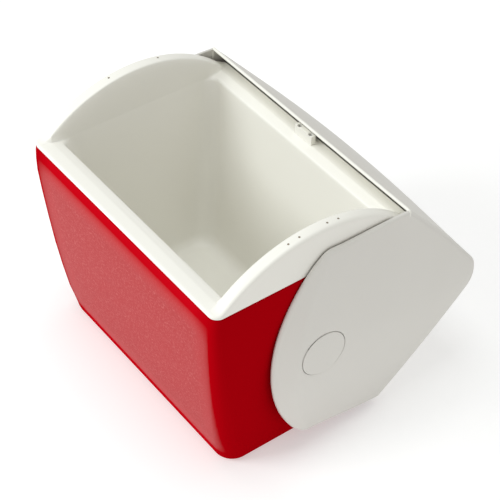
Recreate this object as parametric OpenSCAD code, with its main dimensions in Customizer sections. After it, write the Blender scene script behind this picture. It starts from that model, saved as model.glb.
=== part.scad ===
// Small tent-lid cooler with a swing lid, shown open. Millimetres.
// Origin: centre of the underside of the tub, on the floor. X runs along the length.
// The lid swings to the +Y side. The value 0 of its hinge is this open position.

/* [Tub] */
// Half length of the tub at the parting line
tub_half_x = 162; // [120:1:220]
// Half width of the tub at the parting line
tub_half_y = 122.2; // [90:0.1:160]
// Height of the red tub shell
tub_h = 247; // [180:1:320]
// How much each end leans in by the floor
draft_x = 15; // [5:0.5:30]
// How much each long side leans in by the floor
draft_y = 28.4; // [5:0.5:40]
// How much further out the left end stands by the floor than the right end does
left_out = 13.5; // [0:0.5:14]
// Wall of the red shell
tub_wall = 3; // [2:0.5:5]

/* [Liner] */
// Half length of the opening of the liner
mouth_x = 146.5; // [100:0.5:190]
// Half width of the opening of the liner
mouth_y = 97; // [60:1:130]
// Thickness of the white rim above the shell
rim_t = 5; // [4:0.5:10]
// Half width across the flat of the long rims, inside which they step down
ledge_y = 108.6; // [80:0.1:140]
// Height of the liner floor
floor_z = 30; // [16:1:40]
// Thickness of the arched end walls
arch_t = 15; // [8:0.5:20]
// Radius of the arched end walls
arch_r = 165; // [120:0.5:200]
// Height of the centre of the arches above the floor
arch_z = 133.5; // [100:0.5:180]

/* [Lid] */
// Height of the pivot above the floor
pivot_z = 147; // [120:1:190]
// Half width of the lid across its eaves
eave_v = 130; // [110:0.5:160]
// Height of the eaves above the pivot
eave_u = 103.5; // [80:0.5:130]
// Height of the unrounded ridge above the pivot
peak_u = 227.5; // [180:1:270]
// Part of each slope left straight below the ridge round
ridge_from = 0.85; // [0.6:0.01:0.95]
// Outward crown of each roof slope
crown = 3; // [0:0.5:8]
// Skin of the lid
skin = 2.2; // [2:0.1:5]
// How far the lid is swung open to the back
open_deg = 93.9; // [0:0.1:98]
// How far the end plates stand out at their middle
bulge = 13.5; // [0:0.5:20]

/* [Pivot] */
// Radius of the pivot shafts
shaft_r = 8; // [5:0.5:12]
// Radial clearance of the shafts in their bearings
run_gap = 0.06; // [0.01:0.01:0.10]
// Radius of the round caps on the end plates
cap_r = 26.4; // [15:0.1:35]

/* [Handle] */
// Length of the bail along the lid
bail_x = 216; // [150:2:280]
// Length of the bail arms
bail_arm = 45; // [35:1:60]

/* [Hidden] */
$fn = 96;
plate_in = tub_half_x + 2;
plate_edge = plate_in + 2.9;
sweep_r = 163;
arc_in = 163.6;
arc_out = 165.4;
rim_z = tub_h + rim_t;
slope_len = sqrt(eave_v * eave_v + (peak_u - eave_u) * (peak_u - eave_u));
slope_deg = atan2(peak_u - eave_u, eave_v);
handle_s = 140;
handle_n = -1;
pan_low = 81;
pan_high = 150;
latch_s = 40;

// ---------- shared shapes ----------

// rounded rectangle slab with its base at height z
module slab(hx, hy, r, z, t = 0.02) {
    translate([0, 0, z])
    linear_extrude(t)
    polygon([for (q = [[1, 1, 0], [-1, 1, 90], [-1, -1, 180], [1, -1, 270]])
        for (a = [0:7.5:90])
            [q[0] * (hx - r) + r * cos(q[2] + a), q[1] * (hy - r) + r * sin(q[2] + a)]]);
}

// slab whose left end stands further out, as a part of left_out
module lean_slab(hx, hy, r, z, left) {
    k = (hx + left * left_out) / hx;
    translate([0, 0, z])
    linear_extrude(0.02)
    polygon([for (q = [[1, 1, 0], [-1, 1, 90], [-1, -1, 180], [1, -1, 270]])
        for (a = [0:7.5:90])
            [(q[0] * (hx - r) + r * cos(q[2] + a)) * (q[0] < 0 ? k : 1),
                q[1] * (hy - r) + r * sin(q[2] + a)]]);
}

// tapered tub body, shrunk all round by g, from height z0 to the parting line
module tub_body(g, z0) {
    low_x = tub_half_x - draft_x - g;
    low_y = tub_half_y - draft_y - g;
    hull() {
        lean_slab(tub_half_x - g, tub_half_y - g, max(8 - g, 4), tub_h - 0.02, 0);
        lean_slab(tub_half_x + 1 - g, tub_half_y + 1.2 - g, max(10 - g, 5), tub_h - 22, 0);
        lean_slab(tub_half_x - 1.5 - g, tub_half_y - 5 - g, max(14 - g, 6), tub_h - 90, 0);
        lean_slab(low_x + 3, low_y + 7, max(20 - g, 8), z0 + 40, 0.8);
        lean_slab(low_x, low_y, max(22 - g, 9), z0 + 13, 1);
        lean_slab(low_x - 3.6, low_y - 3.6, max(19 - g, 8), z0 + 4, 1);
        lean_slab(low_x - 12, low_y - 12, max(13 - g, 6), z0, 1);
    }
}

// liner cavity shape, grown by g all round
module cavity(g, top) {
    hull() {
        slab(mouth_x + g, mouth_y + g, 16 + g, top - 0.02);
        slab(mouth_x - 2 + g, mouth_y - 2 + g, 18 + g, tub_h - 25);
        slab(mouth_x - 13 + g, mouth_y - 17 + g, 22 + g, floor_z + 14);
        slab(mouth_x - 16 + g, mouth_y - 20 + g, 20 + g, floor_z + 5 - g * 0.4);
        slab(mouth_x - 25 + g, mouth_y - 29 + g, 13 + g, floor_z - g);
    }
}

// points of one crowned roof slope, from the eave up to where the ridge round starts
function slope_pts(s) = [for (i = [0:12]) let (f = i / 12 * ridge_from)
    [s * (eave_v * (1 - f) + 4 * crown * f * (1 - f) * sin(slope_deg)),
        eave_u + (peak_u - eave_u) * f + 4 * crown * f * (1 - f) * cos(slope_deg)]];

// the ridge round, blending both slopes
function ridge_pts() = let (a = slope_pts(1)[12], b = slope_pts(1)[11],
    g = atan2(a[1] - b[1], b[0] - a[0]), r = a[0] / sin(g))
    [for (i = [1:11]) let (t = g - i * g / 6) [r * sin(t), a[1] + r * cos(t) - r * cos(g)]];

function mirrored(p) = [for (i = [len(p) - 1:-1:0]) [-p[i][0], p[i][1]]];

// whole roof section above the eaves, lid coordinates (across, up from the pivot)
roof_pts = concat(slope_pts(1), ridge_pts(), mirrored(slope_pts(1)));

// lower half of an end plate: slightly closing sides, round corners, shallow arc
plate_side = [[130.2, 88], [129.4, 72], [127.8, 50], [126, 30], [125.2, 16]];
function plate_corner() = [for (a = [2:9:47])
    [107 + 18 * cos(a), 4.2 - 18 * sin(a)]];
function plate_arc() = [for (i = [0:9]) let (v = 117 * (1 - i / 9))
    [v, 124.1 - sqrt(178.7 * 178.7 - v * v)]];
low_half = concat(plate_side, plate_corner(), plate_arc());
low_left = [for (p = low_half) [-p[0], p[1]]];
plate_pts = concat(roof_pts, low_left, [for (i = [len(low_half) - 2:-1:0]) low_half[i]]);

// prism along X of a section given in lid coordinates
module prism(pts, x0, x1) {
    translate([x0, 0, 0])
    rotate([90, 0, 90])
    linear_extrude(x1 - x0)
    polygon(pts);
}

// places lid coordinates in the world: open to the back
module in_lid() {
    translate([0, 0, pivot_z])
    rotate([-open_deg, 0, 0])
    children();
}

// a cylinder along X
module bar_x(r, x0, x1) {
    translate([x0, 0, 0])
    rotate([0, 90, 0])
    cylinder(r = r, h = x1 - x0);
}

// moves onto the rear roof slope: X across, Y up the slope, Z outward
module on_slope() {
    translate([0, eave_v, eave_u])
    rotate([0, 0, 180])
    rotate([slope_deg, 0, 0])
    children();
}

// frame of the latch: its Y follows the crowned surface from 6 mm above the eave
module on_latch() {
    on_slope()
    translate([0, 6, 0.8])
    rotate([2.1, 0, 0])
    children();
}

function shrink(pts, g) = [for (p = pts) let (l = sqrt(p[0] * p[0] + (p[1] - 70) * (p[1] - 70)))
    [p[0] * (1 - g / l), 70 + (p[1] - 70) * (1 - g / l)]];

// ---------- tub ----------

module outer_tub() {
    color([0.72, 0.05, 0.08])
    difference() {
        union() {
            tub_body(0, 0);
            translate([0, 0, pivot_z])
            bar_x(27, -tub_half_x + 0.8, tub_half_x - 0.8);
        }
        tub_body(tub_wall, 3);
        translate([0, 0, tub_h - 1])
        cube([2 * tub_half_x - 12, 2 * tub_half_y - 12, 4], center = true);
        translate([0, 0, pivot_z])
        bar_x(shaft_r + 4, -200, 200);
        // flat seats of the bearing flanges
        for (s = [0, 1])
            mirror([s, 0, 0])
            translate([0, 0, pivot_z])
            bar_x(24.4, tub_half_x - 0.65, 200);
        for (s = [-1, 1])
            for (a = [45:90:315])
                translate([0, 19 * cos(a), pivot_z + 19 * sin(a)])
                bar_x(2.1, s * 162 - 14, s * 162 + 14);
    }
}

module inner_liner() {
    color([0.95, 0.94, 0.9])
    difference() {
        union() {
            // rim over the shell
            hull() {
                slab(tub_half_x + 0.2, tub_half_y + 0.3, 10, tub_h + 0.1);
                slab(tub_half_x + 0.2, tub_half_y + 0.3, 10, rim_z - 3);
                slab(tub_half_x - 0.6, tub_half_y - 0.6, 9, rim_z - 1);
                slab(tub_half_x - 2.4, tub_half_y - 2.6, 8, rim_z - 0.02);
            }
            // arched end walls
            for (s = [-1, 1])
                intersection() {
                    translate([0, 0, arch_z])
                    union() {
                        bar_x(arch_r, s * (tub_half_x - arch_t / 2) - arch_t / 2 + 2.5,
                            s * (tub_half_x - arch_t / 2) + arch_t / 2 - 2.5);
                        bar_x(arch_r - 1, s * (tub_half_x - arch_t / 2) - arch_t / 2 + 1,
                            s * (tub_half_x - arch_t / 2) + arch_t / 2 - 1);
                        bar_x(arch_r - 2.8, s * (tub_half_x - arch_t / 2) - arch_t / 2,
                            s * (tub_half_x - arch_t / 2) + arch_t / 2);
                    }
                    translate([-250, -tub_half_y + 1, tub_h + 0.5])
                    cube([500, 2 * tub_half_y - 2, 80]);
                }
            cavity(2.5, tub_h + 2);
        }
        cavity(0, rim_z - 2);
        // sloping ledge inside the long rims, and the leaning inner faces of the arches
        hull() {
            slab(mouth_x, mouth_y, 10, rim_z - 2.2);
            slab(mouth_x + 0.2, ledge_y, 4, rim_z + 0.05);
        }
        hull() {
            slab(mouth_x + 0.2, ledge_y, 4, rim_z);
            slab(mouth_x + 1, ledge_y + 9, 4, rim_z + 60);
        }
        // screw holes of the latch's striker
        for (s = [-9, 9])
            translate([s, ledge_y + 2, tub_h - 20])
            cylinder(r = 1.6, h = 40);
    }
}

module tub_foam() {
    color([0.93, 0.87, 0.62])
    difference() {
        tub_body(tub_wall + 0.4, 3.4);
        cavity(2.9, tub_h + 2);
        translate([0, 0, tub_h])
        cube([400, 300, 4], center = true);
        translate([0, 0, pivot_z])
        bar_x(shaft_r + 4.4, -200, 200);
        for (s = [-1, 1])
            for (a = [45:90:315])
                translate([0, 19 * cos(a), pivot_z + 19 * sin(a)])
                bar_x(2.2, s * 162 - 22, s * 162 + 22);
        for (s = [-9, 9])
            translate([s, ledge_y + 2, tub_h - 20])
            cylinder(r = 2, h = 40);
    }
}

// flanged bearing for one pivot shaft, on the +X end
module bearing() {
    translate([0, 0, pivot_z])
    difference() {
        union() {
            bar_x(24, tub_half_x - 0.6, tub_half_x + 9);
            bar_x(shaft_r + 3.9, tub_half_x - 12, tub_half_x + 1);
        }
        bar_x(shaft_r + run_gap, tub_half_x - 20, tub_half_x + 20);
        for (a = [45:90:315])
            translate([0, 19 * cos(a), 19 * sin(a)]) {
                bar_x(2.1, tub_half_x - 10, tub_half_x + 12);
                bar_x(4.2, tub_half_x + 6, tub_half_x + 12);
            }
    }
}

module bearing_right() {
    color([0.30, 0.30, 0.31])
    bearing();
}

module bearing_left() {
    color([0.30, 0.30, 0.31])
    mirror([1, 0, 0])
    bearing();
}

// the eight screws of the two bearings
module bearing_screws() {
    color([0.75, 0.75, 0.77])
    for (s = [0, 1])
        mirror([s, 0, 0])
        for (a = [45:90:315])
            translate([0, 19 * cos(a), pivot_z + 19 * sin(a)]) {
                bar_x(1.9, tub_half_x - 16, tub_half_x + 6.2);
                difference() {
                    bar_x(3.9, tub_half_x + 6.05, tub_half_x + 8.4);
                    translate([tub_half_x + 8, 0, 0])
                    cube([2, 4.6, 1], center = true);
                    translate([tub_half_x + 8, 0, 0])
                    cube([2, 1, 4.6], center = true);
                }
            }
}

// striker on the back rim, held between the two ribs of the latch
module catch_plate() {
    color([0.95, 0.94, 0.9])
    difference() {
        union() {
            translate([-14, ledge_y - 0.6, rim_z + 0.05])
            cube([28, 5.4, 10.9]);
            translate([-14, ledge_y - 0.6, rim_z + 0.05])
            cube([28, 8, 1.5]);
        }
        for (s = [-9, 9])
            translate([s, ledge_y + 2, tub_h - 20])
            cylinder(r = 1.6, h = 60);
        for (s = [-9, 9])
            translate([s, ledge_y + 2, rim_z + 7])
            cylinder(r = 2.5, h = 20);
    }
}

module catch_screws() {
    color([0.75, 0.75, 0.77])
    for (s = [-9, 9])
        translate([s, ledge_y + 2, rim_z + 7.05]) {
            translate([0, 0, -22])
            cylinder(r = 1.5, h = 22.1);
            difference() {
                cylinder(r = 2.4, h = 1.6);
                translate([0, 0, 1.2])
                cube([3.4, 0.8, 1.2], center = true);
            }
        }
}

// ---------- lid ----------

// points that shape the swell of an end plate: its crease below, a dome above
face_low = [for (v = [-104:13:104]) [v, -35 + v * v / 950]];
face_high = [for (a = [0:12:180]) [112 * cos(a) * (1 - 0.1 * sin(a)), 20 + 150 * sin(a)]];
peak_low = [for (v = [-64:16:64]) [v, -35 + v * v / 1300]];
peak_high = [for (a = [0:15:180]) [68 * cos(a), 6 + 96 * sin(a)]];

// solid blank of one end plate, shrunk by g, on the +X end
module plate_blank(g, x0) {
    hull() {
        prism(shrink(plate_pts, g), x0, plate_edge - g * 0.6);
        prism(shrink(plate_pts, g + 2), x0, plate_edge + 1.6 - g);
        prism([for (q = concat(face_low, face_high)) [q[0] * (1 - g / 112), q[1] + (q[1] < 0 ? g : -g)]],
            x0, plate_edge + bulge * 0.62 - g);
        prism([for (q = concat(peak_low, peak_high)) [q[0] * (1 - g / 66), q[1] + (q[1] < 0 ? g : -g)]],
            x0, plate_edge + bulge * 0.93 - g);
        prism([for (q = concat(peak_low, peak_high)) [q[0] * 0.86 * (1 - g / 60),
            (q[1] < 0 ? q[1] + 1 + g : q[1] * 0.7 - g)]], x0, plate_edge + bulge - g);
    }
}

module end_plate() {
    difference() {
        union() {
            difference() {
                plate_blank(0, plate_in);
                intersection() {
                    plate_blank(3, plate_in - 1);
                    bar_x(sweep_r, plate_in - 5, plate_in + 40);
                }
                intersection() {
                    difference() {
                        plate_blank(3, plate_in - 1);
                        bar_x(arc_out + 0.6, plate_in - 5, plate_in + 40);
                    }
                    prism([[-200, eave_u + 4], [200, eave_u + 4], [200, 300], [-200, 300]],
                        plate_in - 5, plate_in + 40);
                }
            }
            bar_x(31, plate_edge + bulge - 7.5, plate_edge + bulge - 0.4);
        }
        bar_x(shaft_r + 0.1, plate_in - 5, plate_in + 40);
        bar_x(18.2, plate_edge + bulge - 5.5, plate_in + 40);
        bar_x(cap_r + 0.6, plate_edge + bulge - 3.4, plate_in + 40);
    }
}

module lid_shell() {
    color([0.9, 0.89, 0.86])
    in_lid() {
        difference() {
            prism(roof_pts, -plate_in - 0.05, plate_in + 0.05);
            difference() {
                prism(shrink(roof_pts, skin * 1.12), -plate_in - 0.04, plate_in + 0.04);
                prism([[-200, 0], [200, 0], [200, eave_u + 2.9], [-200, eave_u + 2.9]],
                    -plate_in, plate_in);
            }
            bar_x(sweep_r, -plate_in - 1, plate_in + 1);
            on_slope() {
                translate([-bail_x / 2 - 6.4, pan_low - 0.4, -12])
                cube([bail_x + 12.8, pan_high - pan_low + 0.8, 20]);
                translate([-26.4, 5.4, -12])
                cube([52.8, 56.8, 24]);
            }
        }
        end_plate();
        mirror([1, 0, 0])
        end_plate();
    }
}

// curved inner panel of the lid, concentric with the pivot
module lid_liner() {
    color([0.94, 0.93, 0.9])
    in_lid()
    difference() {
        bar_x(arc_out, -plate_in + 0.4, plate_in - 0.4);
        bar_x(arc_in, -plate_in - 1, plate_in + 1);
        prism([[-200, -200], [200, -200], [200, eave_u + 34], [-200, eave_u + 34]],
            -plate_in - 1, plate_in + 1);
    }
}

module lid_foam() {
    color([0.93, 0.87, 0.62])
    in_lid()
    difference() {
        prism(shrink(roof_pts, skin * 1.12 + 0.6), -plate_in + 0.6, plate_in - 0.6);
        bar_x(arc_out + 0.4, -plate_in - 1, plate_in + 1);
        prism([[-200, 0], [200, 0], [200, eave_u + 38.1], [-200, eave_u + 38.1]],
            -plate_in - 1, plate_in + 1);
        on_slope() {
            translate([-bail_x / 2 - 6.9, pan_low - 1, -10])
            cube([bail_x + 13.8, pan_high - pan_low + 2, 20]);
            translate([-34, 4, -12])
            cube([68, 66, 24]);
        }
    }
}

module shaft() {
    bar_x(shaft_r, tub_half_x - 10, plate_edge + bulge - 5.3);
    bar_x(18, plate_edge + bulge - 5.4, plate_edge + bulge - 3.6);
}

module shaft_right() {
    color([0.6, 0.6, 0.62])
    in_lid()
    shaft();
}

module shaft_left() {
    color([0.6, 0.6, 0.62])
    in_lid()
    mirror([1, 0, 0])
    shaft();
}

module cap() {
    bar_x(cap_r, plate_edge + bulge - 3.3, plate_edge + bulge - 0.6);
    bar_x(cap_r - 1.2, plate_edge + bulge - 1, plate_edge + bulge + 0.1);
}

module cap_right() {
    color([0.9, 0.89, 0.86])
    in_lid()
    cap();
}

module cap_left() {
    color([0.9, 0.89, 0.86])
    in_lid()
    mirror([1, 0, 0])
    cap();
}

// ---------- latch, on the rear slope near its eave ----------

module latch_housing() {
    color([0.9, 0.89, 0.86])
    in_lid()
    on_latch()
    difference() {
        union() {
            translate([-26, 0, -2])
            cube([52, 56, 3]);
            translate([-32, 0, 0.2])
            cube([64, 61, 1.4]);
        }
        translate([-22, -1, -6])
        cube([44, 55.5, 20]);
        translate([-27, latch_s, -0.4])
        rotate([0, 90, 0])
        cylinder(r = 1.06, h = 54);
    }
}

module latch_pin() {
    color([0.75, 0.75, 0.77])
    in_lid()
    on_latch()
    translate([-25.8, latch_s, -0.4])
    rotate([0, 90, 0])
    cylinder(r = 1, h = 51.6);
}

// torsion coil on the latch pin, as rings
module latch_spring() {
    color([0.6, 0.6, 0.62])
    in_lid()
    on_latch()
    for (s = [-1, 1])
        for (i = [0:3])
            translate([s * (14.2 + i * 0.9), latch_s, -0.4])
            rotate([0, 90, 0])
            rotate_extrude()
            translate([1.75, 0])
            circle(r = 0.36, $fn = 16);
}

// rocker: press its upper end in and the two ribs at its lower end lift off the striker
module latch_button() {
    color([0.9, 0.89, 0.86])
    in_lid()
    on_latch()
    difference() {
        union() {
            translate([-21.5, 0.4, 0.2])
            cube([43, 53.4, 2.4]);
            translate([-21.5, latch_s, -0.4])
            rotate([0, 90, 0])
            cylinder(r = 2.4, h = 43);
            for (q = [7, 21])
                translate([-13, q, -5.4])
                cube([26, 2.4, 6]);
        }
        translate([-22, latch_s, -0.4])
        rotate([0, 90, 0])
        cylinder(r = 1 + run_gap, h = 44);
        for (s = [-1, 1])
            translate([s * 15.6 - 2.2, latch_s - 3, -4])
            cube([4.4, 6, 5.9]);
    }
}

// ---------- handle, folded in its pan on the rear slope ----------

module handle_pan() {
    color([0.86, 0.85, 0.82])
    in_lid()
    on_slope()
    difference() {
        translate([-bail_x / 2 - 6, pan_low, -9])
        cube([bail_x + 12, pan_high - pan_low, 10.6]);
        translate([-bail_x / 2 - 2, pan_low + 3, -7.2])
        cube([bail_x + 4, pan_high - pan_low - 6, 20]);
        translate([-bail_x / 2 - 10, handle_s, handle_n])
        rotate([0, 90, 0])
        cylinder(r = 2.56, h = bail_x + 20);
    }
}

module handle_pin_right() {
    color([0.6, 0.6, 0.62])
    in_lid()
    on_slope()
    translate([bail_x / 2 - 10.5, handle_s, handle_n])
    rotate([0, 90, 0])
    cylinder(r = 2.5, h = 16.3);
}

module handle_pin_left() {
    color([0.6, 0.6, 0.62])
    in_lid()
    on_slope()
    translate([-bail_x / 2 - 5.8, handle_s, handle_n])
    rotate([0, 90, 0])
    cylinder(r = 2.5, h = 16.3);
}

module handle_bail() {
    color([0.9, 0.89, 0.86])
    in_lid()
    on_slope()
    difference() {
        union() {
            for (s = [-1, 1]) {
                translate([s * (bail_x / 2 - 4.5) - 4.5, handle_s - bail_arm, handle_n - 3])
                cube([9, bail_arm, 6]);
                translate([s * (bail_x / 2 - 4.5) - 4.5, handle_s, handle_n])
                rotate([0, 90, 0])
                cylinder(r = 5, h = 9);
            }
            translate([-bail_x / 2, handle_s - bail_arm - 1, handle_n - 3])
            cube([bail_x, 11, 6]);
        }
        translate([-bail_x / 2 - 10, handle_s, handle_n])
        rotate([0, 90, 0])
        cylinder(r = 2.5 + run_gap, h = bail_x + 20);
    }
}

// soft grip sleeve around the middle of the bail
module handle_grip() {
    color([0.30, 0.30, 0.31])
    in_lid()
    on_slope()
    difference() {
        translate([-60, handle_s - bail_arm + 4.5, handle_n + 1])
        rotate([0, 90, 0])
        cylinder(r = 7, h = 120);
        translate([-70, handle_s - bail_arm - 1.1, handle_n - 3.1])
        cube([140, 11.2, 6.2]);
        translate([-70, handle_s - bail_arm - 10, handle_n - 20])
        cube([140, 30, 14.6]);
    }
}

outer_tub();
inner_liner();
tub_foam();
bearing_right();
bearing_left();
bearing_screws();
catch_plate();
catch_screws();
lid_shell();
lid_liner();
lid_foam();
shaft_right();
shaft_left();
cap_right();
cap_left();
latch_housing();
latch_pin();
latch_spring();
latch_button();
handle_pan();
handle_pin_right();
handle_pin_left();
handle_bail();
handle_grip();
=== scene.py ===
import bpy
import bmesh
import math
from mathutils import Matrix, Vector


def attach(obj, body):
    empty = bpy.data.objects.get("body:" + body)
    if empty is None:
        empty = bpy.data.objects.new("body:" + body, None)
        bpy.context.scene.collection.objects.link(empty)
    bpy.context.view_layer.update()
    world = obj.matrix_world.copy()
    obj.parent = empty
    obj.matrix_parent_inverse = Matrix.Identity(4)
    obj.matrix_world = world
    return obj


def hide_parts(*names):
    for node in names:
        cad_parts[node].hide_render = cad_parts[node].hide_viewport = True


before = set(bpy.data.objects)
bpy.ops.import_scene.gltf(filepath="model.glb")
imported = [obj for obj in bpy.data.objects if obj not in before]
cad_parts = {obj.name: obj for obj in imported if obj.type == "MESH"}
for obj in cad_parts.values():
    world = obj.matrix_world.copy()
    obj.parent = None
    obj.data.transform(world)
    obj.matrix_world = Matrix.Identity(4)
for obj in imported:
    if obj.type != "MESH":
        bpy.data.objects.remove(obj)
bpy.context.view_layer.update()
mm = 0.001
print("frame loaded", len(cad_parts), "nodes")

# helpers

lidPlace = {"pivotHeight": 147.0, "openAngle": 93.9}


def toLidPlace(bm):
    # lid coordinates (across, up from the pivot) to the open lid
    turn = Matrix.Rotation(math.radians(-lidPlace["openAngle"]), 3, "X")
    bmesh.ops.rotate(bm, verts=bm.verts, matrix=turn)
    bmesh.ops.translate(bm, verts=bm.verts, vec=(0, 0, lidPlace["pivotHeight"]))


def finishPiece(bm, name, body, material, replaced=(), weighted=True, normals=True):
    # millimetres to metres, normals outward, smooth shading, then onto its body
    bmesh.ops.remove_doubles(bm, verts=bm.verts, dist=0.001)
    bmesh.ops.scale(bm, verts=bm.verts, vec=(mm, mm, mm))
    if normals:
        bmesh.ops.recalc_face_normals(bm, faces=bm.faces)
    for f in bm.faces:
        f.smooth = True
    mesh = bpy.data.meshes.new(name)
    bm.to_mesh(mesh)
    bm.free()
    piece = bpy.data.objects.new(name, mesh)
    bpy.context.scene.collection.objects.link(piece)
    mesh.materials.append(material)
    if weighted:
        wn = piece.modifiers.new("Weighted Normal", "WEIGHTED_NORMAL")
        wn.weight = 60
        wn.keep_sharp = True
    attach(piece, body)
    if replaced:
        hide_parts(*replaced)
    print("made", name, len(mesh.polygons), "faces")
    return piece


def smoothMax(a, b, k):
    h = max(k - abs(a - b), 0.0) / k
    return max(a, b) + h * h * k * 0.25


# A ring is a dictionary: vertex -> where it sits on a rounded rectangle.
# Corners hold (signX, signY, angle); straight runs hold ("end" or "side", sign, fraction).
def roundedRing(bm, shape, cornerSteps, endCuts, sideCuts):
    hx, hy, r = shape[:3]
    made = bmesh.ops.create_circle(bm, cap_ends=False, radius=r, segments=4 * cornerSteps)
    half = 45.0 / cornerSteps
    ring = {}
    for v in made["verts"]:
        angle = (math.degrees(math.atan2(v.co.y, v.co.x)) + half) % 360
        quarter = int(angle // 90)
        inQuarter = ((angle - 90 * quarter) - half) / (90 - 2 * half) * 90
        inQuarter = min(90.0, max(0.0, inQuarter))
        sx = 1 if quarter in (0, 3) else -1
        sy = 1 if quarter in (0, 1) else -1
        ring[v] = (sx, sy, 90 * quarter + inQuarter)
    placeRing(ring, shape)
    for kind, cuts in (("end", endCuts), ("side", sideCuts)):
        spots = {tuple(round(c, 4) for c in v.co): s for v, s in ring.items()}
        which = 0 if kind == "end" else 1
        span = []
        for e in bm.edges:
            a, b = (spots.get(tuple(round(c, 4) for c in v.co)) for v in e.verts)
            if a and b and not isinstance(a[0], str) and not isinstance(b[0], str):
                if a[which] == b[which] and a[1 - which] != b[1 - which]:
                    span.append(e)
        bmesh.ops.subdivide_edges(bm, edges=span, cuts=cuts)
        reach = (hy - r) if kind == "end" else (hx - r)
        ring = {}
        for v in bm.verts:
            spot = spots.get(tuple(round(c, 4) for c in v.co))
            if spot is None:
                along, over = (v.co.y, v.co.x) if kind == "end" else (v.co.x, v.co.y)
                spot = (kind, 1 if over > 0 else -1, along / reach)
            ring[v] = spot
    placeRing(ring, shape)
    return ring


def ringPoint(spot, hx, hy, r):
    if spot[0] == "end":
        return spot[1] * hx, spot[2] * (hy - r)
    if spot[0] == "side":
        return spot[2] * (hx - r), spot[1] * hy
    a = math.radians(spot[2])
    return spot[0] * (hx - r) + r * math.cos(a), spot[1] * (hy - r) + r * math.sin(a)


def placeRing(ring, shape):
    hx, hy, r, z = shape
    for v, spot in ring.items():
        x, y = ringPoint(spot, hx, hy, r)
        v.co = (x, y, z(x, y, spot) if callable(z) else z)


def nextRing(bm, ring):
    # extrudes the ring's edges in place and hands its spots to the new vertices
    edges = [e for e in bm.edges if e.verts[0] in ring and e.verts[1] in ring]
    made = bmesh.ops.extrude_edge_only(bm, edges=edges)["geom"]
    spots = {tuple(round(c, 4) for c in v.co): s for v, s in ring.items()}
    fresh = [g for g in made if isinstance(g, bmesh.types.BMVert)]
    return {v: spots[tuple(round(c, 4) for c in v.co)] for v in fresh}


def loftRings(bm, ring, shapes):
    for shape in shapes:
        ring = nextRing(bm, ring)
        placeRing(ring, shape)
    return ring


def capRing(bm, ring):
    edges = [e for e in bm.edges if e.verts[0] in ring and e.verts[1] in ring]
    bmesh.ops.contextual_create(bm, geom=edges)


# materials

def newMaterial(name):
    material = bpy.data.materials.new(name)
    material.use_nodes = True
    tree = material.node_tree
    return material, tree, tree.nodes["Principled BSDF"]


def addNode(tree, kind, **values):
    node = tree.nodes.new(kind)
    for key, value in values.items():
        if key in node.inputs:
            node.inputs[key].default_value = value
        else:
            setattr(node, key, value)
    return node


def objectCoords(tree):
    return addNode(tree, "ShaderNodeTexCoord").outputs["Object"]


def mathNode(tree, operation, a, b=None, clamp=False):
    node = addNode(tree, "ShaderNodeMath", operation=operation, use_clamp=clamp)
    for socket, value in zip(node.inputs, (a, b)):
        if value is None:
            continue
        if isinstance(value, (int, float)):
            socket.default_value = value
        else:
            tree.links.new(value, socket)
    return node.outputs[0]


def noiseOn(tree, coords, scale, detail=2.0, roughness=0.5):
    node = addNode(tree, "ShaderNodeTexNoise", Scale=scale, Detail=detail, Roughness=roughness)
    tree.links.new(coords, node.inputs["Vector"])
    return node.outputs["Fac"]


def colourRamp(tree, value, stops):
    node = tree.nodes.new("ShaderNodeValToRGB")
    ramp = node.color_ramp
    while len(ramp.elements) < len(stops):
        ramp.elements.new(0.5)
    for element, (place, colour) in zip(ramp.elements, stops):
        element.position = place
        element.color = (*colour, 1)
    tree.links.new(value, node.inputs["Fac"])
    return node.outputs["Color"]


def mixColour(tree, factor, a, b):
    node = addNode(tree, "ShaderNodeMix", data_type="RGBA")
    for socket, value in ((node.inputs[0], factor), (node.inputs[6], a), (node.inputs[7], b)):
        if isinstance(value, tuple):
            socket.default_value = (*value, 1)
        elif isinstance(value, (int, float)):
            socket.default_value = value
        else:
            tree.links.new(value, socket)
    return node.outputs[2]


def addBump(tree, shader, height, strength, distance):
    node = addNode(tree, "ShaderNodeBump", Strength=strength, Distance=distance)
    tree.links.new(height, node.inputs["Height"])
    tree.links.new(node.outputs["Normal"], shader.inputs["Normal"])


# the band red is painted light: a lighter red on the lit long sides than on the shaded ends of the
# same plastic
redShellLook = {
    "smooth": (0.40, 0.0004, 0.004), "paintedLitBand": (0.50, 0.002, 0.008),
    # the grained and speck reds are the real pebbled grain with painted sheen: a lighter, pinker
    # red where light glints off it
    "grainedSheenRed": (0.43, 0.010, 0.013), "paintedSheenSpeck": (0.55, 0.10, 0.10),
    "grainSize": 430.0, "grainDepth": 0.0005, "bandTop": 0.234, "bandSoft": 0.026,
    "lipHeight": 0.247, "draft": 0.060, "panelHalfX": 0.1540, "panelLow": 0.016,
}


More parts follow.
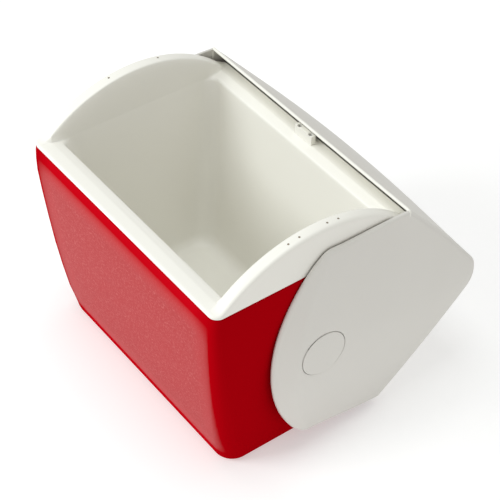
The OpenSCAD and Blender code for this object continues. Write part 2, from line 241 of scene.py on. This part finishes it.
def makeRedShell():
    look = redShellLook
    material, tree, shader = newMaterial("redShellPlastic")
    coords = objectCoords(tree)
    split = addNode(tree, "ShaderNodeSeparateXYZ")
    tree.links.new(coords, split.inputs[0])
    x, _, z = split.outputs
    # grained panel: below the smooth top band and inside the smooth corners
    soft = look["bandSoft"]
    below = mathNode(tree, "DIVIDE", mathNode(tree, "SUBTRACT", look["bandTop"], z), soft, True)
    # the corners lean in with the draft, so their smooth strip follows the height
    drop = mathNode(tree, "SUBTRACT", look["lipHeight"], z)
    lean = mathNode(tree, "MULTIPLY", drop, look["draft"])
    edgeX = mathNode(tree, "SUBTRACT", look["panelHalfX"], lean)
    room = mathNode(tree, "SUBTRACT", edgeX, mathNode(tree, "ABSOLUTE", x))
    inside = mathNode(tree, "DIVIDE", room, soft, True)
    above = mathNode(tree, "DIVIDE", mathNode(tree, "SUBTRACT", z, look["panelLow"]), soft, True)
    panel = mathNode(tree, "MULTIPLY", mathNode(tree, "MULTIPLY", below, inside), above)
    grain = noiseOn(tree, coords, look["grainSize"], 3.0, 0.65)
    coarse = noiseOn(tree, coords, 60.0, 3.0, 0.6)
    # painted sheen: pink specks and a lighter red on the real grain stand in for the key light
    # glinting off the pebbled panel
    sheenSpecks = mathNode(tree, "MULTIPLY", mathNode(tree, "SUBTRACT", grain, 0.50), 5.0, True)
    tone = mixColour(tree, mathNode(tree, "MULTIPLY", sheenSpecks, 0.9), look["grainedSheenRed"], look["paintedSheenSpeck"])
    tone = mixColour(tree, mathNode(tree, "MULTIPLY", coarse, 0.25), tone, look["smooth"])
    # painted light: the long sides take a lighter red than the ends, standing in for the key light
    # falling on them
    base = mixColour(tree, inside, look["smooth"], look["paintedLitBand"])
    colour = mixColour(tree, panel, base, tone)
    tree.links.new(colour, shader.inputs["Base Color"])
    rough = mathNode(tree, "ADD", mathNode(tree, "MULTIPLY", panel, 0.22), 0.34)
    tree.links.new(rough, shader.inputs["Roughness"])
    gloss = mathNode(tree, "MULTIPLY", panel, 0.38)
    tree.links.new(gloss, shader.inputs["Specular IOR Level"])
    depth = mathNode(tree, "ADD", mathNode(tree, "MULTIPLY", panel, 0.92), 0.08)
    height = mathNode(tree, "MULTIPLY", grain, depth)
    addBump(tree, shader, height, 0.55, look["grainDepth"])
    return material


whiteLook = {"base": (0.885, 0.872, 0.815), "warm": (0.875, 0.860, 0.795), "roughness": 0.42}


def makeWhite(name, look, grainDepth):
    material, tree, shader = newMaterial(name)
    coords = objectCoords(tree)
    cloud = noiseOn(tree, coords, 14.0, 2.0)
    tree.links.new(mixColour(tree, cloud, look["base"], look["warm"]), shader.inputs["Base Color"])
    fine = noiseOn(tree, coords, 1400.0, 2.0, 0.6)
    rough = mathNode(tree, "ADD", mathNode(tree, "MULTIPLY", fine, 0.10), look["roughness"] - 0.05)
    tree.links.new(rough, shader.inputs["Roughness"])
    addBump(tree, shader, fine, 0.35, grainDepth)
    return material


lidLook = {"base": (0.74, 0.725, 0.68), "warm": (0.715, 0.695, 0.65), "roughness": 0.55}
darkLook = {"base": (0.035, 0.035, 0.038), "warm": (0.05, 0.05, 0.05), "roughness": 0.5}
foamLook = {"base": (0.80, 0.72, 0.45), "warm": (0.74, 0.64, 0.36), "roughness": 0.9}


def makeSteel():
    material, tree, shader = newMaterial("zincSteel")
    coords = objectCoords(tree)
    streaks = noiseOn(tree, coords, 500.0, 3.0)
    tone = colourRamp(tree, streaks, ((0.3, (0.48, 0.48, 0.50)), (0.7, (0.66, 0.66, 0.67))))
    tree.links.new(tone, shader.inputs["Base Color"])
    shader.inputs["Metallic"].default_value = 1.0
    rough = mathNode(tree, "ADD", mathNode(tree, "MULTIPLY", streaks, 0.2), 0.25)
    tree.links.new(rough, shader.inputs["Roughness"])
    return material


redShell = makeRedShell()
whiteLiner = makeWhite("whiteLinerPlastic", whiteLook, 0.00004)
lidGrey = makeWhite("lidPlastic", lidLook, 0.00010)
darkPlastic = makeWhite("darkPlastic", darkLook, 0.00008)
foamFill = makeWhite("rigidFoam", foamLook, 0.0008)
zincSteel = makeSteel()

nodeFinish = {
    "tub_foam": foamFill, "lid_foam": foamFill, "bearing_right": darkPlastic,
    "bearing_left": darkPlastic, "bearing_screws": zincSteel, "catch_plate": whiteLiner,
    "catch_screws": zincSteel, "shaft_right": zincSteel, "shaft_left": zincSteel,
    "latch_housing": lidGrey, "latch_pin": zincSteel, "latch_spring": zincSteel,
    "latch_button": lidGrey, "handle_pan": lidGrey, "handle_pin_right": zincSteel,
    "handle_pin_left": zincSteel, "handle_bail": lidGrey, "handle_grip": darkPlastic,
}
for nodeName, finish in nodeFinish.items():
    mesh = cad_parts[nodeName].data
    mesh.materials.clear()
    mesh.materials.append(finish)
print("materials made")

# red shell

shell = {
    "wall": 3.0, "insideFrom": 5, "leastRound": 5,
    "leftOut": 13.5, "leanFrom": 14, "leanTo": 157, "lowHalfX": 147,
    "cornerSteps": 12, "endCuts": 9, "sideCuts": 11,
}


def shellRings(inset):
    # half length, half width, corner radius and height, from the floor up
    outline = (
        (134.4, 81.2, 12.5, 0.0), (138.6, 85.4, 15.5, 0.25), (142.2, 89.2, 18.5, 1.9),
        (144.6, 91.6, 20.5, 4.6), (146.2, 93.0, 21.5, 8.6), (147.2, 94.0, 22.0, 14.0),
        (148.6, 97.0, 21.0, 26.0), (150.3, 101.2, 19.5, 42.0),
        (153.8, 107.0, 17.5, 75.0), (157.2, 112.3, 15.5, 110.0), (160.3, 117.3, 13.5, 150.0),
        (162.1, 121.0, 11.5, 188.0), (163.0, 123.1, 10.0, 215.0), (163.0, 123.3, 9.5, 230.0),
        (162.6, 122.9, 9.0, 240.0),
    )
    least = shell["leastRound"]
    return [(hx - inset, hy - inset, max(r - inset, least), z) for hx, hy, r, z in outline]


def standLeft(bm):
    # the left end stands more upright than the right one
    for v in bm.verts:
        if v.co.x < 0:
            rise = (v.co.z - shell["leanFrom"]) / (shell["leanTo"] - shell["leanFrom"])
            reach = 1 - min(max(rise, 0), 1) ** 0.8
            v.co.x *= 1 + shell["leftOut"] * reach / shell["lowHalfX"]


def makeShell():
    bm = bmesh.new()
    inner = [s for s in shellRings(shell["wall"]) if s[3] > shell["insideFrom"]]
    steps = (shell["cornerSteps"], shell["endCuts"], shell["sideCuts"])
    ring = roundedRing(bm, (128, 75, 9, 3.0), *steps)
    capRing(bm, ring)
    top = [(159.6, 119.8, 6.5, 246.4), (160.2, 120.4, 7.0, 246.9), (161.0, 121.2, 7.6, 246.9),
           (161.8, 122.0, 8.2, 246.3), (162.2, 122.4, 8.6, 245.2)]
    outer = list(reversed(shellRings(0)))
    ring = loftRings(bm, ring, inner + top + outer)
    capRing(bm, ring)
    standLeft(bm)
    return finishPiece(bm, "tubShell", "tub", redShell, ("outer_tub",))


makeShell()

# white liner: rim, arched ends and cavity

liner = {
    "rimTop": 251.9, "archRadius": 165.0, "archCentre": 133.5, "archBlend": 4.0,
    "archStart": 146.0, "cornerSteps": 10, "endCuts": 47, "sideCuts": 17,
}


def linerTop(x, y):
    # height of the rim: flat along the sides, arched over the ends
    inArch = liner["archRadius"] ** 2 - y * y
    arch = liner["archCentre"] + math.sqrt(max(inArch, 0.0))
    part = min(1.0, max(0.0, (abs(x) - liner["archStart"]) / 1.6))
    part = part * part * (3 - 2 * part)
    full = smoothMax(liner["rimTop"], arch, liner["archBlend"])
    return liner["rimTop"] * (1 - part) + full * part


def rimRing(insetX, insetY, r, dropSide, dropEnd):
    # a ring of the rim; the drops are how far it lies under the top on the sides and on the ends
    def height(x, y, spot):
        rise = linerTop(x, y) - liner["rimTop"]
        part = min(1.0, rise / 6.0)
        return linerTop(x, y) - (dropSide * (1 - part) + dropEnd * part)
    return (162.2 - insetX, 122.5 - insetY, r, height)


def makeLiner():
    bm = bmesh.new()
    # outside of the cavity wall, up to the flange
    steps = (liner["cornerSteps"], liner["endCuts"], liner["sideCuts"])
    ring = roundedRing(bm, (119.5, 66, 12, 27.6), *steps)
    capRing(bm, ring)
    back = [(126, 72.5, 16, 28.6), (131, 77.5, 20, 32.0), (134.6, 81, 22, 40.0),
            (136.5, 83, 23, 50.0), (147.2, 97.6, 20, 222.0), (149.0, 99.4, 17, 243.5),
            (152.0, 102.6, 14, 246.2)]
    under = [(158.5, 118.8, 9, 246.4), (160.6, 120.9, 9.5, 247.15), (161.5, 121.8, 9.8, 247.2)]
    outside = [
        (162.05, 122.35, 10, 247.7), (162.2, 122.5, 10, 248.5),
        rimRing(0, 0, 10, 2.3, 9.0), rimRing(0.0, 0.0, 10, 2.0, 4.2),
        rimRing(0.5, 0.3, 9.8, 1.1, 2.4), rimRing(1.5, 1.0, 9.5, 0.35, 1.15),
        rimRing(3.0, 2.2, 9.0, 0.0, 0.4), rimRing(5.0, 3.6, 8.4, 0.0, 0.05),
        rimRing(8.5, 8.5, 7.0, 0.0, 0.0),
        rimRing(12.0, 13.4, 5.0, 0.0, 0.15), rimRing(13.2, 14.2, 4.2, 0.05, 0.6),
        rimRing(14.2, 15.6, 3.6, 0.35, 1.6), rimRing(14.9, 19.6, 4.4, 1.3, 3.4),
        rimRing(15.2, 23.4, 6.0, 2.0, 6.0),
    ]
    lip = [(146.9, 98.0, 9.0, 249.0), (146.6, 97.3, 11.0, 248.0), (146.4, 96.9, 13.0, 246.0),
           (145.9, 96.4, 15.0, 240.0), (144.5, 95.0, 18.0, 222.0)]
    wall = [(141.0, 90.6, 19.4, 170.0), (137.4, 85.6, 20.8, 110.0), (134.4, 81.3, 21.8, 58.0),
            (133.3, 79.8, 22.0, 44.0), (132.0, 78.5, 21.6, 38.5), (129.6, 76.0, 20.4, 34.2),
            (126.0, 72.5, 17.6, 31.4), (121.5, 68.0, 13.5, 30.2), (117.0, 63.5, 10.0, 30.0)]
    ring = loftRings(bm, ring, back + under + outside + lip + wall)
    capRing(bm, ring)
    return finishPiece(bm, "linerShell", "tub", whiteLiner, ("inner_liner",))


makeLiner()

# lid: two end plates and the crowned roof between them

lid = {
    "eaveOut": 130.0, "eaveUp": 103.5, "peakUp": 227.5, "ridgeFrom": 0.85, "crown": 3.0,
    "skin": 2.2, "swell": 7.4, "swellEnd": 0.86,
    "edgeX": 164.25, "faceX": 166.9, "rise": 13.3, "bevel": 0.47, "edgeRound": 3.0,
    "holeR": 27.2, "arcCentre": 124.1, "arcR": 178.7, "rings": 54,
    "latchHole": (26.4, 5.4, 62.2), "panHole": (114.4, 80.6, 150.4),
    "domeHalf": 130.6, "domeFrom": 10, "domeDown": 115,
    "cornerAt": (107.2, 6.0), "cornerR": 18.2, "arcHalf": 112.0,
    "recessR": 18.4, "recessFloor": 176.6,
}
slopeLength = math.hypot(lid["eaveOut"], lid["peakUp"] - lid["eaveUp"])
slopeAngle = math.atan2(lid["peakUp"] - lid["eaveUp"], lid["eaveOut"])


def slopePoint(s):
    f = s / slopeLength
    bow = 4 * lid["crown"] * f * (1 - f)
    return (lid["eaveOut"] * (1 - f) + bow * math.sin(slopeAngle),
            lid["eaveUp"] + (lid["peakUp"] - lid["eaveUp"]) * f + bow * math.cos(slopeAngle))


def ridgeRound():
    # where the round of the ridge starts, its half angle and its radius
    start = slopePoint(slopeLength * lid["ridgeFrom"])
    below = slopePoint(slopeLength * lid["ridgeFrom"] - 4)
    angle = math.atan2(start[1] - below[1], below[0] - start[0])
    return start, angle, start[0] / math.sin(angle)


def roofHalf():
    # from the eave corner up to the top of the ridge, one side
    stops = [1.2, 3.0, 5.4, 15, 25, 35, 45, 54, 62.2, 71, 80.6, 92, 103, 115, 127, 139, 147, 150.4]
    pts = [slopePoint(s) for s in stops]
    a, g, r = ridgeRound()
    for i in range(10):
        t = g - i * g / 10
        pts.append((r * math.sin(t), a[1] + r * math.cos(t) - r * math.cos(g)))
    return pts


def lowerHalf():
    # from just under the eave corner down the side, round the corner and along the arc
    pts = [(130.25, 102.6), (130.3, 101.0), (130.25, 96), (130.1, 88), (129.6, 76), (128.6, 62),
           (127.5, 48), (126.6, 36), (125.9, 26), (125.4, 18)]
    (cv, cu), r = lid["cornerAt"], lid["cornerR"]
    for i in range(9):
        t = math.radians(-2 + i * 5.6)
        pts.append((cv + r * math.cos(t), cu - r * math.sin(t)))
    for i in range(16):
        v = lid["arcHalf"] * (1 - i / 16)
        pts.append((v, lid["arcCentre"] - math.sqrt(lid["arcR"] ** 2 - v * v)))
    return pts


def plateOutline():
    # whole outline, starting at the ridge top and going round by the rear (+) side
    roof, low = roofHalf(), lowerHalf()
    top = (0.0, slopeTop(0.0))
    bottom = (0.0, lid["arcCentre"] - lid["arcR"])
    right = [top] + list(reversed(roof)) + low
    left = [bottom] + [(-v, u) for v, u in reversed(low)] + [(-v, u) for v, u in roof]
    return right + left, len(roof)


def slopeTop(v):
    # height of the roof outline above a point across
    a, g, r = ridgeRound()
    v = abs(v)
    if v < a[0]:
        return a[1] + math.sqrt(max(r * r - v * v, 0)) - r * math.cos(g)
    f = 1 - min(v, lid["eaveOut"]) / lid["eaveOut"]
    bow = 4 * lid["crown"] * f * (1 - f)
    return lid["eaveUp"] + (lid["peakUp"] - lid["eaveUp"]) * f + bow / math.cos(slopeAngle)


def edgeDistance(v, u, outline):
    best = 1e9
    for (av, au), (bv, bu) in zip(outline, outline[1:] + outline[:1]):
        dv, du = bv - av, bu - au
        t = ((v - av) * dv + (u - au) * du) / max(dv * dv + du * du, 1e-9)
        t = min(1.0, max(0.0, t))
        best = min(best, math.hypot(v - av - t * dv, u - au - t * du))
    return best


def smoothMin(a, b, k):
    return -smoothMax(-a, -b, k)


def plateHeight(v, u, away):
    # swell of the end plate: a wide dome, cut along the lower arc by a flat bevel
    low = lid["domeFrom"]
    across = 1 - min(abs(v) / lid["domeHalf"], 1.0) ** 1.8
    if u > low:
        along = 1 - min((u - low) / (slopeTop(v) - low), 1.0) ** 2.4
    else:
        along = 1 - ((low - u) / lid["domeDown"]) ** 2
    dome = lid["rise"] * max(across, 0) * max(along, 0)
    cut = lid["bevel"] * max(away - 0.8, 0)
    t = 1 - min(away / lid["edgeRound"], 1.0)
    edge = lid["edgeX"] + (lid["faceX"] - lid["edgeX"]) * math.sqrt(max(1 - t * t, 0))
    return edge + max(smoothMin(dome, cut, 0.9), 0)


def makeLid():
    bm = bmesh.new()
    outline, roofCount = plateOutline()
    count = len(outline)
    # the recess of the pivot cap: floor, wall, rounded mouth
    made = bmesh.ops.create_circle(bm, cap_ends=False, radius=lid["holeR"], segments=count)
    around = {}
    directions = [math.atan2(u, v) for v, u in outline]
    ordered = sorted(range(count), key=lambda i: directions[i])
    byAngle = sorted(made["verts"], key=lambda v: math.atan2(v.co.y, v.co.x))
    for vert, index in zip(byAngle, ordered):
        around[vert] = index

    def place(ring, s, x=None, radius=None):
        for vert, index in ring.items():
            ov, ou = outline[index]
            turn = directions[index]
            r = radius if radius else lid["holeR"]
            cv, cu = r * math.cos(turn), r * math.sin(turn)
            v, u = cv + (ov - cv) * s, cu + (ou - cu) * s
            away = edgeDistance(v, u, outline) if x is None else 0
            if x is None and s >= 1:
                away = 0
            vert.co = (plateHeight(v, u, away) if x is None else x, v, u)

    place(around, 0, x=lid["recessFloor"], radius=lid["recessR"])
    ring = around
    for gap, x in ((0.35, lid["recessFloor"]), (0.05, 176.9), (0.05, 179.2)):
        ring = nextRing(bm, ring)
        place(ring, 0, x=x, radius=lid["holeR"] - gap)
    n = lid["rings"]
    steps = [0.0]
    for i in range(1, n + 1):
        f = i / n
        steps.append(f ** 0.9)
    for s in steps:
        ring = nextRing(bm, ring)
        place(ring, s)
        if s == 0.0:
            for vert in ring:
                vert.co.x -= 0.25
    # roof: the part of the edge between the two eave corners runs in to the middle
    roofIndex = set(range(0, roofCount + 1)) | set(range(count - roofCount, count))
    roofRing = {v: i for v, i in ring.items() if i in roofIndex}
    swelled = {}
    spans = (160.0, 152, 143, 134, 125, lid["panHole"][0] + 1.2, lid["panHole"][0],
             102, 90, 78, 66, 54, 41, lid["latchHole"][0] + 1.2, lid["latchHole"][0], 13, 0.0)
    for x in spans:
        roofRing = nextRing(bm, roofRing)
        for vert in roofRing:
            vert.co.x = x
            # the front slope is also crowned along its length
            if vert.co.y < 0:
                f = ((lid["eaveOut"] + vert.co.y) * math.cos(slopeAngle)
                     + (vert.co.z - lid["eaveUp"]) * math.sin(slopeAngle)) / slopeLength
                f = min(max(f / lid["swellEnd"], 0.0), 1.0)
                lift = lid["swell"] * (1 - (x / lid["edgeX"]) ** 2) * (4 * f * (1 - f)) ** 0.8
                swelled[vert] = lift
    for vert, lift in swelled.items():
        vert.co.y -= lift * math.sin(slopeAngle)
        vert.co.z += lift * math.cos(slopeAngle)
    # openings for the latch and the handle on the rear slope

    def onSlope(face):
        c = face.calc_center_median()
        if c.y < 20 or abs(c.x) > 130 or c.z < lid["eaveUp"] + 1:
            return None
        out, up = lid["eaveOut"] - c.y, c.z - lid["eaveUp"]
        return out * math.cos(slopeAngle) + up * math.sin(slopeAngle)

    gone = []
    for face in bm.faces:
        s = onSlope(face)
        if s is None:
            continue
        for reach, low, high in (lid["latchHole"], lid["panHole"]):
            if abs(face.calc_center_median().x) < reach and low < s < high:
                gone.append(face)
    bmesh.ops.delete(bm, geom=gone, context="FACES")
    both = bmesh.ops.duplicate(bm, geom=bm.verts[:] + bm.edges[:] + bm.faces[:])["geom"]
    copied = [g for g in both if isinstance(g, bmesh.types.BMVert)]
    bmesh.ops.scale(bm, verts=copied, vec=(-1, 1, 1))
    bmesh.ops.reverse_faces(bm, faces=[g for g in both if isinstance(g, bmesh.types.BMFace)])
    bmesh.ops.remove_doubles(bm, verts=bm.verts, dist=0.01)
    toLidPlace(bm)
    bmesh.ops.recalc_face_normals(bm, faces=bm.faces)
    # an open skin: the plate's face has to look away from the middle
    probe = max(bm.faces, key=lambda f: f.calc_center_median().x)
    if probe.normal.x < 0:
        bmesh.ops.reverse_faces(bm, faces=bm.faces)
    piece = finishPiece(bm, "lidShell", "lid", lidGrey, ("lid_shell",),
                        weighted=False, normals=False)
    wall = piece.modifiers.new("Solidify", "SOLIDIFY")
    wall.thickness = lid["skin"] * mm
    wall.offset = -1
    wall.use_even_offset = False
    wn = piece.modifiers.new("Weighted Normal", "WEIGHTED_NORMAL")
    wn.weight = 60
    return piece


makeLid()

# white inner panel of the lid, rounded at both eaves

panel = {"inner": 163.1, "outer": 165.2, "halfX": 163.2, "fromAngle": 50.6, "steps": 44}


def makePanel():
    bm = bmesh.new()
    # a thin upright strip along the length, spun about the pivot line
    half, thick = panel["halfX"], panel["outer"] - panel["inner"]
    start = math.radians(90 - panel["fromAngle"])
    made = bmesh.ops.create_grid(bm, x_segments=1, y_segments=1, size=0.5)
    for v in made["verts"]:
        v.co = (v.co.x * 2 * half, panel["inner"] + (v.co.y + 0.5) * thick, 0)
    bmesh.ops.rotate(bm, verts=bm.verts, matrix=Matrix.Rotation(start, 3, "X"))
    bmesh.ops.spin(bm, geom=bm.faces[:], axis=(1, 0, 0), cent=(0, 0, 0),
                   angle=math.radians(2 * panel["fromAngle"]), steps=panel["steps"],
                   use_duplicate=False)
    toLidPlace(bm)
    return finishPiece(bm, "lidLiner", "lid", whiteLiner, ("lid_liner",))


makePanel()

# white bead along each eave, turned round its corners

bead = {
    "halfX": 165.4, "across": 129.2, "up": 102.9, "r": 1.75, "turn": 15.0, "round": 2.4,
    "cornerSteps": 6,
}


def makeBeads():
    bm = bmesh.new()
    for side in (1, -1):
        # a circle swept along the eave, round both corners and a little way down the end plates
        b = bead
        turns = [math.radians(90 * i / b["cornerSteps"]) for i in range(b["cornerSteps"] + 1)]
        start = b["halfX"] - b["round"]
        corner = [(start + b["round"] * math.sin(t), -b["round"] + b["round"] * math.cos(t), t)
                  for t in turns]
        half = [(0.0, 0.0, 0.0), (80.0, 0.0, 0.0)] + corner
        half.append((b["halfX"], -b["turn"], math.radians(90)))
        path = [(-x, d, -t) for x, d, t in reversed(half[1:])] + half
        made = bmesh.ops.create_circle(bm, cap_ends=False, radius=b["r"], segments=16)
        ring = {v: (v.co.x, v.co.y) for v in made["verts"]}
        for i, (x, d, t) in enumerate(path):
            if i:
                ring = nextRing(bm, ring)
            for v, (p, q) in ring.items():
                # p lies across the path in the plane of the eave, q stands out of it
                out = b["across"] + d + p * math.cos(t)
                v.co = (x + p * math.sin(t), side * out, b["up"] + q)
            if i in (0, len(path) - 1):
                capRing(bm, ring)
    toLidPlace(bm)
    return finishPiece(bm, "eaveBeads", "lid", whiteLiner)


makeBeads()

# round caps over the pivots

capShape = {"r": 26.55, "face": 179.95, "round": 0.7, "back": 177.0}


def makeCap(side):
    bm = bmesh.new()
    made = bmesh.ops.create_circle(bm, cap_ends=False, radius=1.0, segments=96)
    ring = {v: (v.co.x, v.co.y) for v in made["verts"]}

    def place(ring, radius, x):
        for v, (a, b) in ring.items():
            v.co = (x, a * radius, b * radius)

    c = capShape
    place(ring, 15.0, c["back"])
    capRing(bm, ring)
    for radius, x in ((c["r"], c["back"]), (c["r"], c["face"] - c["round"]),
                      (c["r"] - 0.2, c["face"] - 0.2), (c["r"] - c["round"], c["face"]),
                      (18.0, c["face"] + 0.18), (9.0, c["face"] + 0.28), (2.0, c["face"] + 0.30)):
        ring = nextRing(bm, ring)
        place(ring, radius, x)
    capRing(bm, ring)
    if side == "left":
        bmesh.ops.scale(bm, verts=bm.verts, vec=(-1, 1, 1))
    toLidPlace(bm)
    name = "capRight" if side == "right" else "capLeft"
    return finishPiece(bm, name, "lid", lidGrey, ("cap_" + side,))


makeCap("right")
makeCap("left")

# moulding marks on the arches: flat discs just proud of the surface

dimples = {
    "near": (-33, -20, 13.5, 27), "far": (-30, 32), "alongX": 155.6, "r": 1.15,
    "stand": 0.10, "sink": 0.05,
}


def makeDimples():
    material, tree, shader = newMaterial("dimpleBrown")
    speckle = noiseOn(tree, objectCoords(tree), 900.0)
    tone = colourRamp(tree, speckle, ((0.3, (0.10, 0.07, 0.04)), (0.7, (0.30, 0.24, 0.17))))
    tree.links.new(tone, shader.inputs["Base Color"])
    shader.inputs["Roughness"].default_value = 0.6
    bm = bmesh.new()
    spots = [(dimples["alongX"], y) for y in dimples["near"]]
    spots += [(-dimples["alongX"], y) for y in dimples["far"]]
    for x, y in spots:
        before = set(bm.verts)
        bmesh.ops.create_circle(bm, cap_ends=True, radius=dimples["r"], segments=20)
        disc = [v for v in bm.verts if v not in before]
        tilt = Matrix.Rotation(-math.asin(y / liner["archRadius"]), 3, "X")
        bmesh.ops.translate(bm, verts=disc, vec=(0, 0, dimples["stand"]))
        bmesh.ops.rotate(bm, verts=disc, matrix=tilt)
        bmesh.ops.translate(bm, verts=disc, vec=(x, y, linerTop(x, y) - dimples["sink"]))
    return finishPiece(bm, "archDimples", "tub", material,
                       weighted=False, normals=False)


makeDimples()

# floor, light and camera

stage = {
    "floorSize": 6.0, "floorTone": (0.70, 0.70, 0.70), "floorGlow": (1.0, 1.0, 1.0),
    "floorGlowStrength": 0.41, "floorRoughness": 0.9, "floorGloss": 0.1,
    "sky": (1.0, 0.99, 0.965), "skyStrength": 0.55, "lampColour": (0.95, 0.99, 1.0),
    # place, size, power, aims at
    "lamps": {
        "keyLight": ((-1.0, -2.5, 1.8), 1.4, 48.0, (0, 0, 0.15)),
        "topLight": ((0.0, -0.1, 2.3), 1.0, 13.0, (0, 0, 0.1)),
    },
}


def makeStage():
    bm = bmesh.new()
    bmesh.ops.create_grid(bm, x_segments=2, y_segments=2, size=stage["floorSize"])
    mesh = bpy.data.meshes.new("studioFloor")
    bm.to_mesh(mesh)
    bm.free()
    floor = bpy.data.objects.new("studioFloor", mesh)
    bpy.context.scene.collection.objects.link(floor)
    material, _, shader = newMaterial("paperWhite")
    shader.inputs["Base Color"].default_value = (*stage["floorTone"], 1)
    shader.inputs["Emission Color"].default_value = (*stage["floorGlow"], 1)
    shader.inputs["Emission Strength"].default_value = stage["floorGlowStrength"]
    shader.inputs["Roughness"].default_value = stage["floorRoughness"]
    shader.inputs["Specular IOR Level"].default_value = stage["floorGloss"]
    mesh.materials.append(material)

    world = bpy.data.worlds.new("studio")
    bpy.context.scene.world = world
    world.use_nodes = True
    sky = world.node_tree.nodes["Background"]
    sky.inputs["Color"].default_value = (*stage["sky"], 1)
    sky.inputs["Strength"].default_value = stage["skyStrength"]
    for name, (place, size, power, aim) in stage["lamps"].items():
        data = bpy.data.lights.new(name, "AREA")
        data.shape = "SQUARE"
        data.size = size
        data.energy = power
        data.color = stage["lampColour"]
        lamp = bpy.data.objects.new(name, data)
        lamp.location = place
        lamp.rotation_mode = "QUATERNION"
        lamp.rotation_quaternion = (Vector(aim) - Vector(place)).to_track_quat("-Z", "Y")
        bpy.context.scene.collection.objects.link(lamp)


makeStage()

view = {
    "target": (0.0, 0.042198, 0.128844), "distance": 1.79115, "azimuth": 52.2916,
    "elevation": 42.9930, "roll": 1.5152, "lens": 119.58, "sensor": 36.0, "clip": (0.05, 30),
}


def makeCamera():
    data = bpy.data.cameras.new("camera")
    data.sensor_width = view["sensor"]
    data.lens = view["lens"]
    data.clip_start, data.clip_end = view["clip"]
    camera = bpy.data.objects.new("camera", data)
    az, el = math.radians(view["azimuth"]), math.radians(view["elevation"])
    back = Vector((math.cos(el) * math.sin(az), -math.cos(el) * math.cos(az), math.sin(el)))
    camera.location = Vector(view["target"]) + back * view["distance"]
    look = (-back).to_track_quat("-Z", "Y")
    roll = Matrix.Rotation(math.radians(view["roll"]), 3, "Z").to_quaternion()
    camera.rotation_mode = "QUATERNION"
    camera.rotation_quaternion = look @ roll
    bpy.context.scene.collection.objects.link(camera)
    bpy.context.scene.camera = camera


makeCamera()
bpy.context.scene.view_settings.view_transform = "Standard"
print("stage and camera made")
